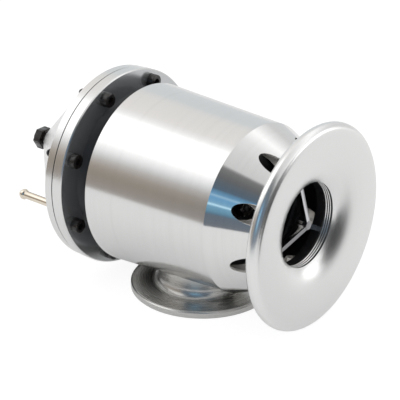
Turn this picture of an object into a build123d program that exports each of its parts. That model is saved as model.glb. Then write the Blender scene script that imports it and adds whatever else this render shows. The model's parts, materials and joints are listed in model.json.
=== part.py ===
from build123d import *
import math
import os

# Blow off valve, pull type, in millimetres.
# The origin is the centre of the mounting flange's bottom face and +Z is up.
# The valve's own axis lies along +X at axis_height and points towards the horn.

# Body: barrel, nose cone and inlet neck
axis_height = 39.4
barrel_rear_x = -27.7
barrel_length = 53.3
barrel_rear_radius = 35.0
barrel_taper = 2.9
nose_length = 19.4
nose_front_radius = 23.4
edge_chamfer = 0.4
flange_radius = 27.6
flange_thickness = 2.8
flange_chamfer = 0.6
neck_radius = 16.5
neck_flare = 3.0
neck_flare_height = 3.6
inlet_radius = 13.5

# Inside of the body
chamber_step = 1.5
chamber_front_x = 14.3
nose_wall = 4.4
nose_boss_length = 6.5
seat_shoulder_width = 5.0
seat_shoulder_thickness = 2.5
window_count = 8
window_radius = 3.5
window_step = 2.75
window_depth = 14.5
window_first_angle = 21.0
window_edge_break = 0.2
cut_margin = 1.0

# Face seal under the flange
flange_groove_mean_radius = 19.1
flange_groove_width = 2.2
flange_groove_depth = 1.7
flange_ring_wire_radius = 0.8

# Rear ring with its core, partition and boss
core_gap = 8.4
ring_step = 3.7
ring_width = 9.2
ring_thickness = 4.3
core_wall = 3.5
spigot_step = 1.0
partition_thickness = 4.2
partition_front_x = -13.3
boss_radius = 9.0
boss_front_length = 5.3
boss_rear_length = 4.5
balance_hole_radius = 1.25
balance_pitch_radius = 17.0

# Screws round the rear ring
screw_count = 8
screw_first_angle = 22.5
screw_edge_distance = 4.4
screw_radius = 1.5
screw_length = 12.4
screw_head_radius = 2.75
screw_head_height = 3.0
screw_socket_width = 2.5
screw_socket_depth = 1.6

# Rear cover
cover_step = 0.2
cover_rim_length = 3.6
cover_shoulder = 0.9
cover_cone_length = 32.2
cover_end_radius = 6.8
cover_wall = 3.6
cover_boss_length = 5.7

# Diaphragm and its plates
diaphragm_thickness = 0.6
diaphragm_step = 0.3
roll_edge_distance = 4.0
roll_radius = 2.6
roll_to_plate = 3.0
rear_plate_step = 0.5
plate_thickness = 1.5

# Stem, nuts and guide
stem_radius = 3.0
stem_thread_radius = 2.5
stem_collar_radius = 5.0
stem_collar_thickness = 1.5
nut_width = 8.0
nut_height = 4.0
washer_radius = 5.2
washer_thickness = 1.0
thread_end = 0.5
bush_radius = 5.0
seal_length = 2.0

# Valves and seat
seat_ring_length = 4.2
seat_ring_step = 3.0
seat_land_width = 4.0
seat_to_circlip = 0.7
seat_groove_width = 1.8
seat_ring_wire_radius = 0.88
circlip_thickness = 1.1
circlip_groove_depth = 1.15
circlip_width = 2.7
circlip_gap_width = 9.0
circlip_ear_radius = 2.0
main_valve_overlap = 3.5
main_valve_thickness = 2.8
main_seal_thickness = 1.3
main_seal_width = 3.0
hub_radius = 5.2
hub_rise = 0.2
port_count = 6
port_radius = 1.7
port_pitch_radius = 7.2
primary_valve_radius = 9.9
primary_valve_thickness = 2.0
primary_hub_length = 1.0
primary_seal_thickness = 0.8
pick_up_gap = 2.25

# Springs
main_spring_mean_radius = 12.5
main_spring_wire_radius = 0.6
main_spring_turns = 5
return_spring_mean_radius = 7.6
return_spring_wire_radius = 0.9
return_spring_turns = 6
return_spring_length = 22.0

# Preload adjuster at the rear end
spring_seat_radius = 9.6
spring_seat_thickness = 2.0
spring_seat_lip = 2.0
spring_seat_lip_width = 0.7
adjuster_radius = 2.45
adjuster_head_width = 8.0
adjuster_head_height = 3.6
adjuster_gap = 4.4
adjuster_groove_depth = 1.5
adjuster_ring_wire_radius = 0.74

# Vacuum nipple, parallel to the valve's axis
nipple_pitch_radius = 26.25
nipple_angle = 214.0
nipple_boss_radius = 2.8
nipple_boss_length = 0.85
nipple_collar_radius = 2.3
nipple_collar_height = 0.8
nipple_thread_radius = 2.0
nipple_thread_length = 4.5
nipple_radius = 1.55
nipple_bead_radius = 2.1
nipple_bead_start = 1.2
nipple_bead_end = 2.0
nipple_bead_foot = 2.6
nipple_tip_chamfer = 0.1
nipple_bore_radius = 0.8
nipple_length = 16.55

# Horn and the three-armed guide in its throat
throat_radius = 16.4
horn_thread_radius = 18.5
horn_tail_length = 5.0
horn_shoulder_radius = 21.0
horn_length = 8.0
lip_radius = 38.4
lip_roll_radius = 1.8
back_curve_depth = 1.98
back_curve_rise = 4.0
back_start_slope = 0.8
bell_curve_depth = 1.4
bell_curve_rise = 2.0
throat_wall_length = 3.6
throat_round_length = 5.6
guide_pocket_radius = 17.3
guide_ring_wall = 0.8
guide_hub_radius = 1.6
guide_hub_length = 6.4
guide_arm_depth = 3.2
guide_web_radius = 5.0
guide_reach = 4.3
guide_arm_width = 1.8

# Clearances
running = 0.05
seating = 0.1

# Radii that follow the rear ring, and stations along the valve's axis
crease_x = barrel_rear_x + barrel_length
nose_front_x = crease_x + nose_length
crease_radius = barrel_rear_radius - barrel_taper
nose_slope = (crease_radius - nose_front_radius) / nose_length
window_pitch_radius = (crease_radius + nose_front_radius) / 2 - window_step
boss_rear_x = nose_front_x - nose_boss_length
nose_cavity_radius = crease_radius - nose_wall
ring_radius = barrel_rear_radius + ring_step
core_radius = ring_radius - ring_width
plate_chamber_radius = core_radius - core_wall
spigot_radius = core_radius - spigot_step
chamber_radius = spigot_radius - chamber_step
screw_pitch_radius = ring_radius - screw_edge_distance
ring_front_x = barrel_rear_x - core_gap
ring_rear_x = ring_front_x - ring_thickness
partition_rear_x = partition_front_x - partition_thickness
boss_front_x = partition_front_x + boss_front_length
guide_boss_rear_x = partition_rear_x - boss_rear_length
cover_radius = ring_radius - cover_step
cover_cavity_radius = core_radius
cover_front_x = ring_rear_x - diaphragm_thickness
cover_rim_x = cover_front_x - cover_rim_length
cover_end_x = cover_rim_x - cover_cone_length
cone_start_radius = cover_radius - cover_shoulder
cone_slope = (cone_start_radius - cover_end_radius) / cover_cone_length
boss_inner_x = cover_end_x + adjuster_groove_depth + cover_boss_length

seat_ring_radius = chamber_radius - seat_ring_step
seat_shoulder_radius = seat_ring_radius - seat_shoulder_width
seat_bore_radius = seat_shoulder_radius - seat_land_width
main_valve_radius = seat_bore_radius + main_valve_overlap
seat_rear_x = chamber_front_x + circlip_thickness + 2 * seating + seat_to_circlip
seat_front_x = seat_rear_x + seat_ring_length
shoulder_front_x = seat_front_x + seat_shoulder_thickness
main_front_x = seat_rear_x - main_seal_thickness
main_rear_x = main_front_x - main_valve_thickness
primary_front_x = main_rear_x - primary_seal_thickness
primary_rear_x = primary_front_x - primary_valve_thickness - primary_hub_length
hub_front_x = main_front_x + hub_rise
pick_up_x = hub_front_x + pick_up_gap
stem_front_x = pick_up_x + nut_height + thread_end

diaphragm_radius = cover_radius - diaphragm_step
roll_mean_radius = plate_chamber_radius - roll_edge_distance
front_plate_radius = roll_mean_radius - roll_to_plate
rear_plate_radius = front_plate_radius - rear_plate_step
front_plate_x = ring_rear_x
plate_face_x = front_plate_x + plate_thickness
rear_plate_x = cover_front_x - plate_thickness
washer_x = rear_plate_x - washer_thickness
stem_nut_x = washer_x - nut_height
stem_rear_x = stem_nut_x - thread_end

spring_seat_x = rear_plate_x - return_spring_length
spring_seat_rear_x = spring_seat_x - spring_seat_thickness
adjuster_head_x = cover_end_x - adjuster_gap

horn_rear_x = nose_front_x - horn_tail_length
lip_x = nose_front_x + horn_length
throat_edge_x = lip_x - throat_round_length
pocket_front_x = throat_edge_x - throat_wall_length

centre_line = Axis((0, 0, axis_height), (1, 0, 0))
os.makedirs("parts", exist_ok=True)


def radial_plane(angle):
    # x runs along the valve's axis, y runs outwards at this angle from +Y
    turn = math.radians(angle)
    return Plane(
        origin=(0, 0, axis_height),
        x_dir=(1, 0, 0),
        z_dir=(0, -math.sin(turn), math.cos(turn)),
    )


def across(x):
    # Square to the valve's axis, facing the horn
    return Plane(origin=(x, 0, axis_height), x_dir=(0, 1, 0), z_dir=(1, 0, 0))


def half_section(*points):
    # Half section of a turned piece as (x, radius) points
    with BuildSketch(radial_plane(90)) as section:
        with BuildLine():
            Polyline(*points, close=True)
        make_face()
    return section.sketch


def ring_section(start, end, inner, outer):
    return half_section((start, inner), (end, inner), (end, outer), (start, outer))


def ring_of_wire(x, mean_radius, wire_radius):
    with BuildSketch(radial_plane(90)) as section:
        with Locations((x, mean_radius)):
            Circle(wire_radius)
    return section.sketch


def on_cone(edge):
    # An edge between the two ends of the nose whose middle lies on the nose's slope
    middle = edge @ 0.5
    radius = math.hypot(middle.Y, middle.Z - axis_height)
    slope_radius = nose_front_radius + nose_slope * (nose_front_x - middle.X)
    return middle.X < nose_front_x - seating and abs(radius - slope_radius) < running


def save(piece, name):
    piece.part.label = name
    export_step(piece.part, f"parts/{name}.step")


# Main body: one casting, turned outside
with BuildPart() as main_body:
    revolve(
        half_section(
            (barrel_rear_x, 0),
            (barrel_rear_x, barrel_rear_radius - edge_chamfer),
            (barrel_rear_x + edge_chamfer, barrel_rear_radius),
            (crease_x, crease_radius),
            (nose_front_x, nose_front_radius),
            (nose_front_x, 0),
        ),
        axis=centre_line,
    )
    with BuildSketch(Plane.XZ):
        with BuildLine():
            flare_top = flange_thickness + neck_flare_height
            Line((0, 0), (flange_radius - flange_chamfer / 2, 0))
            Line((flange_radius - flange_chamfer / 2, 0), (flange_radius, flange_chamfer / 2))
            Line((flange_radius, flange_chamfer / 2), (flange_radius, flange_thickness - flange_chamfer))
            Line(
                (flange_radius, flange_thickness - flange_chamfer),
                (flange_radius - flange_chamfer, flange_thickness),
            )
            Line(
                (flange_radius - flange_chamfer, flange_thickness),
                (neck_radius + neck_flare, flange_thickness),
            )
            Spline(
                (neck_radius + neck_flare, flange_thickness),
                (neck_radius, flare_top),
                tangents=((-1, 0), (0, 1)),
            )
            Line((neck_radius, flare_top), (neck_radius, axis_height / 2))
            Line((neck_radius, axis_height / 2), (0, axis_height / 2))
            Line((0, axis_height / 2), (0, 0))
        make_face()
    revolve(axis=Axis.Z)
    # Inside: spigot bore, inlet chamber, seat bore, front chamber and horn thread
    revolve(
        half_section(
            (barrel_rear_x - cut_margin, 0),
            (barrel_rear_x - cut_margin, spigot_radius + running),
            (partition_front_x + seating, spigot_radius + running),
            (partition_front_x + seating, chamber_radius),
            (chamber_front_x, chamber_radius),
            (chamber_front_x, seat_ring_radius + running),
            (seat_front_x, seat_ring_radius + running),
            (seat_front_x, seat_shoulder_radius),
            (shoulder_front_x, seat_shoulder_radius),
            (shoulder_front_x, nose_cavity_radius),
            (crease_x, nose_cavity_radius),
            (boss_rear_x, nose_cavity_radius - nose_slope * (boss_rear_x - crease_x)),
            (boss_rear_x, horn_thread_radius + running),
            (nose_front_x + cut_margin, horn_thread_radius + running),
            (nose_front_x + cut_margin, 0),
        ),
        axis=centre_line,
        mode=Mode.SUBTRACT,
    )
    groove_x = seat_rear_x - seating - circlip_thickness - seating
    revolve(
        ring_section(
            groove_x,
            groove_x + circlip_thickness + 2 * seating,
            chamber_radius / 2,
            seat_ring_radius + circlip_groove_depth,
        ),
        axis=centre_line,
        mode=Mode.SUBTRACT,
    )
    with BuildSketch(Plane.XY):
        Circle(inlet_radius)
    inlet_top = axis_height - math.sqrt(chamber_radius**2 - inlet_radius**2) + cut_margin
    extrude(amount=inlet_top, mode=Mode.SUBTRACT)
    with BuildSketch(Plane.XY):
        Circle(flange_groove_mean_radius + flange_groove_width / 2)
        Circle(flange_groove_mean_radius - flange_groove_width / 2, mode=Mode.SUBTRACT)
    extrude(amount=flange_groove_depth, mode=Mode.SUBTRACT)
    # Holes drilled along the axis leave the nose cone as oval windows
    with BuildSketch(across(nose_front_x + cut_margin)):
        with PolarLocations(window_pitch_radius, window_count, start_angle=window_first_angle):
            Circle(window_radius)
    extrude(amount=-(window_depth + cut_margin), mode=Mode.SUBTRACT)
    ovals = main_body.edges(Select.LAST).filter_by(on_cone)
    chamfer(ovals, window_edge_break)
save(main_body, "main_body")

# O-ring under the flange, just inside its groove
with BuildPart() as flange_o_ring:
    with BuildSketch(Plane.XZ):
        with Locations((flange_groove_mean_radius, flange_groove_depth / 2)):
            Circle(flange_ring_wire_radius)
    revolve(axis=Axis.Z)
save(flange_o_ring, "flange_o_ring")

# Rear ring, core, spigot, partition and guide boss, turned in one piece
with BuildPart() as rear_ring:
    revolve(
        half_section(
            (ring_rear_x, plate_chamber_radius),
            (ring_rear_x, ring_radius),
            (ring_front_x - edge_chamfer, ring_radius),
            (ring_front_x, ring_radius - edge_chamfer),
            (ring_front_x, core_radius),
            (barrel_rear_x, core_radius),
            (barrel_rear_x, spigot_radius),
            (partition_front_x, spigot_radius),
            (partition_front_x, boss_radius),
            (boss_front_x, boss_radius),
            (boss_front_x, bush_radius),
            (guide_boss_rear_x, bush_radius),
            (guide_boss_rear_x, boss_radius),
            (partition_rear_x, boss_radius),
            (partition_rear_x, plate_chamber_radius),
        ),
        axis=centre_line,
    )
    with BuildSketch(across(ring_rear_x)):
        with PolarLocations(screw_pitch_radius, screw_count, start_angle=screw_first_angle):
            Circle(screw_radius + 2 * seating)
    extrude(amount=ring_thickness, mode=Mode.SUBTRACT)
    with BuildSketch(across(partition_rear_x)):
        with PolarLocations(balance_pitch_radius, 3, start_angle=90):
            Circle(balance_hole_radius)
    extrude(amount=partition_thickness, mode=Mode.SUBTRACT)
save(rear_ring, "rear_ring")

# Rear cover: rim, long cone, screw threads, adjuster boss and nipple boss
nipple_turn = math.radians(nipple_angle)
nipple_place = (nipple_pitch_radius * math.cos(nipple_turn), nipple_pitch_radius * math.sin(nipple_turn))
nipple_cone_x = cover_rim_x - (cone_start_radius - nipple_pitch_radius) / cone_slope
nipple_face_x = nipple_cone_x - nipple_boss_length
cavity_bend_x = cover_rim_x - (cone_start_radius - cover_wall - cover_cavity_radius) / cone_slope
cavity_end_radius = cover_end_radius + cone_slope * (boss_inner_x - cover_end_x) - cover_wall
adjuster_thread_radius = adjuster_radius + running
with BuildPart() as rear_cover:
    revolve(
        half_section(
            (cover_front_x, 0),
            (cover_front_x, cover_radius),
            (cover_rim_x + edge_chamfer, cover_radius),
            (cover_rim_x, cover_radius - edge_chamfer),
            (cover_rim_x, cone_start_radius),
            (cover_end_x + edge_chamfer, cover_end_radius),
            (cover_end_x, cover_end_radius - edge_chamfer),
            (cover_end_x, 0),
        ),
        axis=centre_line,
    )
    with BuildSketch(across(nipple_face_x)):
        with Locations(nipple_place):
            Circle(nipple_boss_radius)
    extrude(amount=nipple_boss_length + nipple_boss_radius / cone_slope)
    revolve(
        half_section(
            (cover_front_x + cut_margin, 0),
            (cover_front_x + cut_margin, cover_cavity_radius),
            (cavity_bend_x, cover_cavity_radius),
            (boss_inner_x, cavity_end_radius),
            (boss_inner_x, adjuster_thread_radius),
            (cover_end_x + adjuster_groove_depth, adjuster_thread_radius),
            (cover_end_x + adjuster_groove_depth, adjuster_thread_radius + adjuster_groove_depth),
            (cover_end_x - cut_margin, adjuster_thread_radius + adjuster_groove_depth),
            (cover_end_x - cut_margin, 0),
        ),
        axis=centre_line,
        mode=Mode.SUBTRACT,
    )
    with BuildSketch(across(cover_front_x)):
        with PolarLocations(screw_pitch_radius, screw_count, start_angle=screw_first_angle):
            Circle(screw_radius + running)
    extrude(amount=-screw_length, mode=Mode.SUBTRACT)
    with BuildSketch(across(nipple_face_x)):
        with Locations(nipple_place):
            Circle(nipple_collar_radius + running)
    extrude(amount=-(nipple_collar_height + cut_margin), mode=Mode.SUBTRACT)
    with BuildSketch(across(nipple_face_x)):
        with Locations(nipple_place):
            Circle(nipple_thread_radius + running)
    extrude(amount=cover_front_x - nipple_face_x, mode=Mode.SUBTRACT)
save(rear_cover, "rear_cover")

# Cap screws that clamp the cover and the diaphragm to the rear ring
for number in range(screw_count):
    turn = math.radians(screw_first_angle + number * 360 / screw_count)
    place = (screw_pitch_radius * math.cos(turn), screw_pitch_radius * math.sin(turn))
    with BuildPart() as cover_screw:
        with BuildSketch(across(ring_front_x)):
            with Locations(place):
                Circle(screw_head_radius)
        extrude(amount=screw_head_height)
        with BuildSketch(across(ring_front_x)):
            with Locations(place):
                Circle(screw_radius)
        extrude(amount=-screw_length)
        chamfer(cover_screw.edges().group_by(Axis.X)[-1], edge_chamfer / 2)
        chamfer(cover_screw.edges().group_by(Axis.X)[0], edge_chamfer)
        with BuildSketch(across(ring_front_x + screw_head_height)):
            with Locations(place):
                RegularPolygon(screw_socket_width / 2, 6, major_radius=False)
        extrude(amount=-screw_socket_depth, mode=Mode.SUBTRACT)
    save(cover_screw, f"cover_screw_{number + 1}")

# Diaphragm: a rubber sheet with one roll, clamped at its rim
with BuildPart() as diaphragm:
    with BuildSketch(radial_plane(90)):
        with BuildLine():
            roll_out = roll_mean_radius + roll_radius
            roll_in = roll_mean_radius - roll_radius
            bore = stem_thread_radius + running
            Line((cover_front_x, bore), (cover_front_x, roll_in + diaphragm_thickness))
            ThreePointArc(
                (cover_front_x, roll_in + diaphragm_thickness),
                (cover_front_x + roll_radius, roll_mean_radius),
                (cover_front_x, roll_out - diaphragm_thickness),
            )
            Line((cover_front_x, roll_out - diaphragm_thickness), (cover_front_x, diaphragm_radius))
            Line((cover_front_x, diaphragm_radius), (ring_rear_x, diaphragm_radius))
            Line((ring_rear_x, diaphragm_radius), (ring_rear_x, roll_out))
            ThreePointArc(
                (ring_rear_x, roll_out),
                (ring_rear_x + roll_radius, roll_mean_radius),
                (ring_rear_x, roll_in),
            )
            Line((ring_rear_x, roll_in), (ring_rear_x, bore))
            Line((ring_rear_x, bore), (cover_front_x, bore))
        make_face()
    revolve(axis=centre_line)
    with BuildSketch(across(cover_front_x)):
        with PolarLocations(screw_pitch_radius, screw_count, start_angle=screw_first_angle):
            Circle(screw_radius + 2 * seating)
    extrude(amount=diaphragm_thickness, mode=Mode.SUBTRACT)
save(diaphragm, "diaphragm")

# Plates that clamp the middle of the diaphragm
with BuildPart() as front_plate:
    revolve(
        half_section(
            (front_plate_x, stem_thread_radius),
            (front_plate_x, front_plate_radius),
            (plate_face_x - edge_chamfer, front_plate_radius),
            (plate_face_x, front_plate_radius - edge_chamfer),
            (plate_face_x, stem_thread_radius),
        ),
        axis=centre_line,
    )
save(front_plate, "front_plate")

with BuildPart() as rear_plate:
    revolve(
        half_section(
            (cover_front_x, stem_thread_radius),
            (cover_front_x, rear_plate_radius),
            (rear_plate_x + edge_chamfer, rear_plate_radius),
            (rear_plate_x, rear_plate_radius - edge_chamfer),
            (rear_plate_x, stem_thread_radius),
        ),
        axis=centre_line,
    )
save(rear_plate, "rear_plate")

with BuildPart() as stem_washer:
    revolve(ring_section(washer_x, rear_plate_x, stem_thread_radius, washer_radius), axis=centre_line)
save(stem_washer, "stem_washer")

# Stem: carries both plates, the primary valve and the pick-up nut
with BuildPart() as valve_stem:
    revolve(
        half_section(
            (stem_rear_x, 0),
            (stem_rear_x, stem_thread_radius - edge_chamfer),
            (stem_rear_x + edge_chamfer, stem_thread_radius),
            (plate_face_x, stem_thread_radius),
            (plate_face_x, stem_collar_radius),
            (plate_face_x + stem_collar_thickness, stem_collar_radius),
            (plate_face_x + stem_collar_thickness, stem_radius),
            (primary_rear_x - stem_collar_thickness, stem_radius),
            (primary_rear_x - stem_collar_thickness, stem_collar_radius),
            (primary_rear_x, stem_collar_radius),
            (primary_rear_x, stem_radius),
            (pick_up_x, stem_radius),
            (pick_up_x, stem_thread_radius),
            (stem_front_x - edge_chamfer, stem_thread_radius),
            (stem_front_x, stem_thread_radius - edge_chamfer),
            (stem_front_x, 0),
        ),
        axis=centre_line,
    )
save(valve_stem, "valve_stem")

with BuildPart() as stem_nut:
    with BuildSketch(across(stem_nut_x)):
        RegularPolygon(nut_width / 2, 6, major_radius=False)
        Circle(stem_thread_radius, mode=Mode.SUBTRACT)
    extrude(amount=nut_height)
save(stem_nut, "stem_nut")

with BuildPart() as pick_up_nut:
    with BuildSketch(across(pick_up_x)):
        RegularPolygon(nut_width / 2, 6, major_radius=False)
        Circle(stem_thread_radius, mode=Mode.SUBTRACT)
    extrude(amount=nut_height)
save(pick_up_nut, "pick_up_nut")

# Bush and lip seal that guide the stem in the partition's boss
with BuildPart() as stem_bush:
    revolve(
        ring_section(
            guide_boss_rear_x + seal_length,
            boss_front_x,
            stem_radius + running,
            bush_radius - running / 2,
        ),
        axis=centre_line,
    )
save(stem_bush, "stem_bush")

with BuildPart() as stem_seal:
    revolve(
        ring_section(
            guide_boss_rear_x,
            guide_boss_rear_x + seal_length,
            stem_radius + running,
            bush_radius - running / 2,
        ),
        axis=centre_line,
    )
save(stem_seal, "stem_seal")

# Valve seat, fitted from the rear and held by a circlip
with BuildPart() as valve_seat:
    revolve(ring_section(seat_rear_x, seat_front_x, seat_bore_radius, seat_ring_radius), axis=centre_line)
    seat_middle_x = (seat_rear_x + seat_front_x) / 2
    revolve(
        ring_section(
            seat_middle_x - seat_groove_width / 2,
            seat_middle_x + seat_groove_width / 2,
            seat_ring_radius - seat_groove_width,
            seat_ring_radius + cut_margin,
        ),
        axis=centre_line,
        mode=Mode.SUBTRACT,
    )
save(valve_seat, "valve_seat")

with BuildPart() as seat_o_ring:
    revolve(
        ring_of_wire(seat_middle_x, seat_ring_radius - seat_groove_width / 2, seat_ring_wire_radius),
        axis=centre_line,
    )
save(seat_o_ring, "seat_o_ring")

circlip_x = seat_rear_x - seating - circlip_thickness
circlip_radius = seat_ring_radius + circlip_groove_depth - seating
with BuildPart() as seat_circlip:
    with BuildSketch(across(circlip_x)):
        Circle(circlip_radius)
        Circle(circlip_radius - circlip_width, mode=Mode.SUBTRACT)
        with Locations((0, circlip_radius)):
            Rectangle(circlip_gap_width, circlip_radius, mode=Mode.SUBTRACT)
        ear_place_y = circlip_radius - circlip_width - circlip_ear_radius / 2
        ears = [(side * (circlip_gap_width / 2 + circlip_ear_radius / 2), ear_place_y) for side in (-1, 1)]
        with Locations(*ears):
            Circle(circlip_ear_radius)
        with Locations(*ears):
            Circle(circlip_ear_radius / 2, mode=Mode.SUBTRACT)
    extrude(amount=circlip_thickness)
save(seat_circlip, "seat_circlip")

# Main valve: a disc with small ports that the primary valve covers
with BuildPart() as main_valve:
    revolve(
        half_section(
            (main_rear_x, stem_radius + running),
            (main_rear_x, main_valve_radius - edge_chamfer),
            (main_rear_x + edge_chamfer, main_valve_radius),
            (main_front_x, main_valve_radius),
            (main_front_x, hub_radius),
            (hub_front_x, hub_radius),
            (hub_front_x, stem_radius + running),
        ),
        axis=centre_line,
    )
    with BuildSketch(across(main_rear_x)):
        with PolarLocations(port_pitch_radius, port_count):
            Circle(port_radius)
    extrude(amount=main_valve_thickness, mode=Mode.SUBTRACT)
save(main_valve, "main_valve")

with BuildPart() as main_seal:
    revolve(
        ring_section(main_front_x, seat_rear_x, main_valve_radius - main_seal_width, main_valve_radius),
        axis=centre_line,
    )
save(main_seal, "main_seal")

with BuildPart() as primary_valve:
    revolve(
        half_section(
            (primary_rear_x, stem_radius),
            (primary_rear_x, stem_collar_radius),
            (primary_rear_x + primary_hub_length, stem_collar_radius),
            (primary_rear_x + primary_hub_length, primary_valve_radius),
            (primary_front_x, primary_valve_radius),
            (primary_front_x, stem_radius),
        ),
        axis=centre_line,
    )
save(primary_valve, "primary_valve")

with BuildPart() as primary_seal:
    revolve(
        ring_section(primary_front_x, main_rear_x, stem_radius, primary_valve_radius),
        axis=centre_line,
    )
save(primary_seal, "primary_seal")


def coil(start_x, length, mean_radius, wire_radius, turns):
    # Coil spring along the axis, its end wires just short of both seats
    rise = length - 2 * wire_radius - seating
    path = Helix(
        pitch=rise / turns,
        height=rise,
        radius=mean_radius,
        center=(start_x + wire_radius + seating / 2, 0, axis_height),
        direction=(1, 0, 0),
    )
    with BuildPart() as spring:
        with BuildSketch(Plane(origin=path @ 0, z_dir=path % 0)):
            Circle(wire_radius)
        sweep(path=path, is_frenet=True)
    return spring


main_spring = coil(
    partition_front_x,
    main_rear_x - partition_front_x,
    main_spring_mean_radius,
    main_spring_wire_radius,
    main_spring_turns,
)
save(main_spring, "main_spring")

return_spring = coil(
    spring_seat_x,
    return_spring_length,
    return_spring_mean_radius,
    return_spring_wire_radius,
    return_spring_turns,
)
save(return_spring, "return_spring")

# Spring seat and the bolt that presses on it
with BuildPart() as spring_seat:
    revolve(
        half_section(
            (spring_seat_rear_x, 0),
            (spring_seat_rear_x, spring_seat_radius),
            (spring_seat_x + spring_seat_lip, spring_seat_radius),
            (spring_seat_x + spring_seat_lip, spring_seat_radius - spring_seat_lip_width),
            (spring_seat_x, spring_seat_radius - spring_seat_lip_width),
            (spring_seat_x, 0),
        ),
        axis=centre_line,
    )
save(spring_seat, "spring_seat")

with BuildPart() as adjuster_bolt:
    with BuildSketch(across(adjuster_head_x - adjuster_head_height)):
        RegularPolygon(adjuster_head_width / 2, 6, major_radius=False)
    extrude(amount=adjuster_head_height)
    revolve(
        half_section(
            (adjuster_head_x - adjuster_head_height, adjuster_head_width / 2),
            (adjuster_head_x - adjuster_head_height, adjuster_head_width),
            (adjuster_head_x - adjuster_head_height + adjuster_head_width / 4, adjuster_head_width),
        ),
        axis=centre_line,
        mode=Mode.SUBTRACT,
    )
    revolve(
        half_section(
            (adjuster_head_x, 0),
            (adjuster_head_x, adjuster_radius),
            (spring_seat_rear_x - edge_chamfer, adjuster_radius),
            (spring_seat_rear_x, adjuster_radius - edge_chamfer),
            (spring_seat_rear_x, 0),
        ),
        axis=centre_line,
    )
save(adjuster_bolt, "adjuster_bolt")

with BuildPart() as adjuster_o_ring:
    revolve(
        ring_of_wire(
            cover_end_x + adjuster_groove_depth / 2,
            adjuster_thread_radius + adjuster_groove_depth / 2,
            adjuster_ring_wire_radius,
        ),
        axis=centre_line,
    )
save(adjuster_o_ring, "adjuster_o_ring")

# Vacuum nipple: threaded foot, collar, tube with a bead at its tip
nipple_collar_x = nipple_face_x - nipple_collar_height
nipple_tip_x = nipple_collar_x - nipple_length
nipple_axis = Axis((0, nipple_place[0], axis_height + nipple_place[1]), (1, 0, 0))
nipple_section_plane = Plane(
    origin=(0, nipple_place[0], axis_height + nipple_place[1]), x_dir=(1, 0, 0), z_dir=(0, -1, 0)
)
with BuildPart() as vacuum_nipple:
    with BuildSketch(nipple_section_plane):
        with BuildLine():
            Polyline(
                (nipple_face_x + nipple_thread_length, 0),
                (nipple_face_x + nipple_thread_length, nipple_thread_radius),
                (nipple_face_x, nipple_thread_radius),
                (nipple_face_x, nipple_collar_radius),
                (nipple_collar_x, nipple_collar_radius),
                (nipple_collar_x, nipple_radius),
                (nipple_tip_x + nipple_bead_foot, nipple_radius),
                (nipple_tip_x + nipple_bead_end, nipple_bead_radius),
                (nipple_tip_x + nipple_bead_start, nipple_bead_radius),
                (nipple_tip_x, nipple_radius - nipple_tip_chamfer),
                (nipple_tip_x, 0),
                close=True,
            )
        make_face()
    revolve(axis=nipple_axis)
    with BuildSketch(across(nipple_tip_x)):
        with Locations(nipple_place):
            Circle(nipple_bore_radius)
    extrude(amount=nipple_face_x + nipple_thread_length - nipple_tip_x, mode=Mode.SUBTRACT)
save(vacuum_nipple, "vacuum_nipple")

# Horn: a shallow bell with a rolled lip, screwed into the nose
lip_centre = (lip_x - lip_roll_radius, lip_radius - lip_roll_radius)
bell_middle_radius = (throat_radius + lip_centre[1]) / 2
with BuildPart() as horn:
    with BuildSketch(radial_plane(90)):
        with BuildLine():
            Line((horn_rear_x, guide_pocket_radius), (horn_rear_x, horn_thread_radius))
            Line((horn_rear_x, horn_thread_radius), (nose_front_x, horn_thread_radius))
            Line((nose_front_x, horn_thread_radius), (nose_front_x, horn_shoulder_radius))
            Spline(
                (nose_front_x, horn_shoulder_radius),
                (lip_centre[0] - back_curve_depth, bell_middle_radius + back_curve_rise),
                (lip_centre[0] - lip_roll_radius, lip_centre[1]),
                tangents=((back_start_slope, 1), (0, 1)),
            )
            ThreePointArc(
                (lip_centre[0] - lip_roll_radius, lip_centre[1]),
                (lip_centre[0], lip_radius),
                (lip_x, lip_centre[1]),
            )
            Spline(
                (lip_x, lip_centre[1]),
                (lip_x - bell_curve_depth, bell_middle_radius + bell_curve_rise),
                (throat_edge_x, throat_radius),
                tangents=((0, -1), (-1, 0)),
            )
            Line((throat_edge_x, throat_radius), (pocket_front_x, throat_radius))
            Line((pocket_front_x, throat_radius), (pocket_front_x, guide_pocket_radius))
            Line((pocket_front_x, guide_pocket_radius), (horn_rear_x, guide_pocket_radius))
        make_face()
    revolve(axis=centre_line)
save(horn, "horn")

# Three-armed guide whose arms rise from a ring to a hub on the axis
guide_ring_radius = guide_pocket_radius - running
guide_front_x = pocket_front_x + guide_reach
guide_rear_x = guide_front_x - guide_hub_length
arm_slope = guide_reach / (throat_radius - seating - guide_hub_radius / 2)
web_x = guide_front_x - arm_slope * (guide_web_radius - guide_hub_radius / 2) - guide_arm_depth
with BuildPart() as throat_guide:
    revolve(
        ring_section(
            horn_rear_x + seating,
            pocket_front_x,
            guide_ring_radius - guide_ring_wall,
            guide_ring_radius,
        ),
        axis=centre_line,
    )
    with BuildSketch(across(guide_rear_x)):
        Circle(guide_hub_radius)
    extrude(amount=guide_hub_length)
    for angle in (90, 210, 330):
        with BuildSketch(radial_plane(angle)):
            with BuildLine():
                Polyline(
                    (horn_rear_x + seating, guide_ring_radius - guide_ring_wall / 2),
                    (pocket_front_x, throat_radius - seating),
                    (guide_front_x, guide_hub_radius / 2),
                    (guide_rear_x, guide_hub_radius / 2),
                    (web_x, guide_web_radius),
                    close=True,
                )
            make_face()
        extrude(amount=guide_arm_width / 2, both=True)
save(throat_guide, "throat_guide")
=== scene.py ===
import bpy
import bmesh
import json
import math
from mathutils import Matrix, Vector
from mathutils.geometry import interpolate_bezier

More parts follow.
